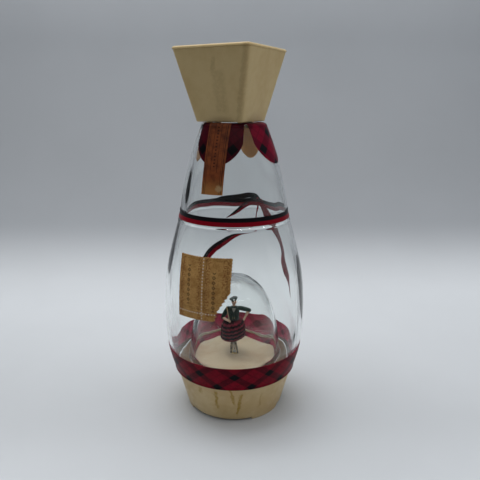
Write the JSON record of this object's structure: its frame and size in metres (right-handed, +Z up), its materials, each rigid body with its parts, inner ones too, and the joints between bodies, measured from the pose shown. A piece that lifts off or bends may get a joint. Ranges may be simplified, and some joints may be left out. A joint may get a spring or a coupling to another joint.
{
  "type": "musical liquor decanter",
  "caption": "Clear glass decanter with a square flared stopper cap, tartan trim and a wind-up music base that turns a small dancer in a glass dome.",
  "frame": {"origin": "centre of the base's foot ring on the table", "axes": "+Z up along the bottle's axis; -Y is the front, where the paper stamp is"},
  "size_m": [0.1196, 0.1196, 0.3],
  "materials": {
    "clear_glass": "clear blown glass, polished",
    "ivory_plastic": "aged ivory moulding, satin gloss",
    "stage_plastic": "aged ivory moulding, gloss",
    "tartan_ribbon": "woven red and black check",
    "black_tape": "glossy tape",
    "red_tape": "glossy tape",
    "strip_paper": "aged red-brown paper",
    "stamp_paper": "aged golden-tan paper",
    "cork": "raw cork",
    "seal_rubber": "aged tan rubber, matte",
    "brass": "turned brass",
    "steel": "turned steel",
    "spring_steel": "blued steel",
    "zinc_plate": "bare zinc, dull",
    "stocking": "knitted stocking, black shoe",
    "kilt_cloth": "pleated red and dark check",
    "jacket_cloth": "dark green felt",
    "hat_cloth": "dark green felt",
    "doll_skin": "painted plastic",
    "stick_wood": "pale stick"
  },
  "bodies": {
    "decanter": {"glass_bottle": "clear_glass", "tartan_band": "tartan_ribbon", "black_belt": "black_tape", "red_belt": "red_tape", "tartan_collar": "tartan_ribbon", "neck_seal_strip": "strip_paper", "body_stamp": "stamp_paper", "base_cup": "ivory_plastic", "stage_plate": "stage_plastic", "spindle_bush": "brass", "glass_gasket": "seal_rubber", "bottom_plate": "zinc_plate", "bottom_plate_screws": "steel", "movement_screws": "steel", "movement_bedplate": "zinc_plate", "bridge_pillars": "brass", "train_bridge": "brass", "click_pawl": "steel", "cylinder_brackets": "brass", "music_comb": "spring_steel", "comb_block": "zinc_plate", "comb_screws": "steel"},
    "stopper": {"cap_shell": "ivory_plastic", "cap_top_plate": "ivory_plastic", "lip_gasket": "seal_rubber", "stopper_cork": "cork"},
    "barrel": {"spring_barrel": "brass", "barrel_cover": "brass", "mainspring": "spring_steel"},
    "winder": {"winding_arbor": "steel", "ratchet_wheel": "steel", "winding_key": "steel"},
    "cylinder": {"music_cylinder": "brass", "cylinder_arbor": "steel"},
    "second_shaft": {"second_arbor": "steel", "second_wheel": "brass"},
    "fly": {"fly_arbor": "steel", "fly_vanes": "brass"},
    "plunger": {"stop_plunger": "steel"},
    "dancer": {"dancer_spindle": "steel", "spindle_pinion": "brass", "dancer_legs": "stocking", "dancer_kilt": "kilt_cloth", "dancer_jacket": "jacket_cloth", "dancer_head": "doll_skin", "dancer_hat": "hat_cloth", "dancer_arm_akimbo": "jacket_cloth", "dancer_arm_raised": "jacket_cloth", "dancer_stick": "stick_wood"}
  },
  "joints": [
    {"name": "cap_lift", "type": "slide", "parent": "decanter", "child": "stopper", "axis": [0, 0, 1], "range_m": [0, 0.06]},
    {"name": "barrel_spin", "type": "hinge", "parent": "decanter", "child": "barrel", "pos_m": [0, 0.0192, 0], "axis": [0, 0, 1], "continuous": true},
    {"name": "dancer_spin", "type": "hinge", "parent": "decanter", "child": "dancer", "pos_m": [0, 0, 0.043], "axis": [0, 0, 1], "continuous": true},
    {"name": "cylinder_spin", "type": "hinge", "parent": "decanter", "child": "cylinder", "pos_m": [0, 0, 0.01965], "axis": [0, 1, 0], "continuous": true},
    {"name": "second_spin", "type": "hinge", "parent": "decanter", "child": "second_shaft", "pos_m": [-0.01663, 0.01231, 0], "axis": [0, 0, 1], "continuous": true},
    {"name": "fly_spin", "type": "hinge", "parent": "decanter", "child": "fly", "pos_m": [-0.0209, 0.00057, 0], "axis": [0, 0, 1], "continuous": true},
    {"name": "key_wind", "type": "hinge", "parent": "decanter", "child": "winder", "pos_m": [0, 0.0192, 0], "axis": [0, 0, 1], "continuous": true},
    {"name": "stop_drop", "type": "slide", "parent": "decanter", "child": "plunger", "axis": [0, 0, 1], "range_m": [-0.003, 0]}
  ],
  "couplings": [
    {"joint": "dancer_spin", "follows": "barrel_spin", "ratio": -3},
    {"joint": "cylinder_spin", "follows": "barrel_spin", "ratio": -4.8},
    {"joint": "second_spin", "follows": "barrel_spin", "ratio": -4},
    {"joint": "fly_spin", "follows": "barrel_spin", "ratio": 16}
  ]
}
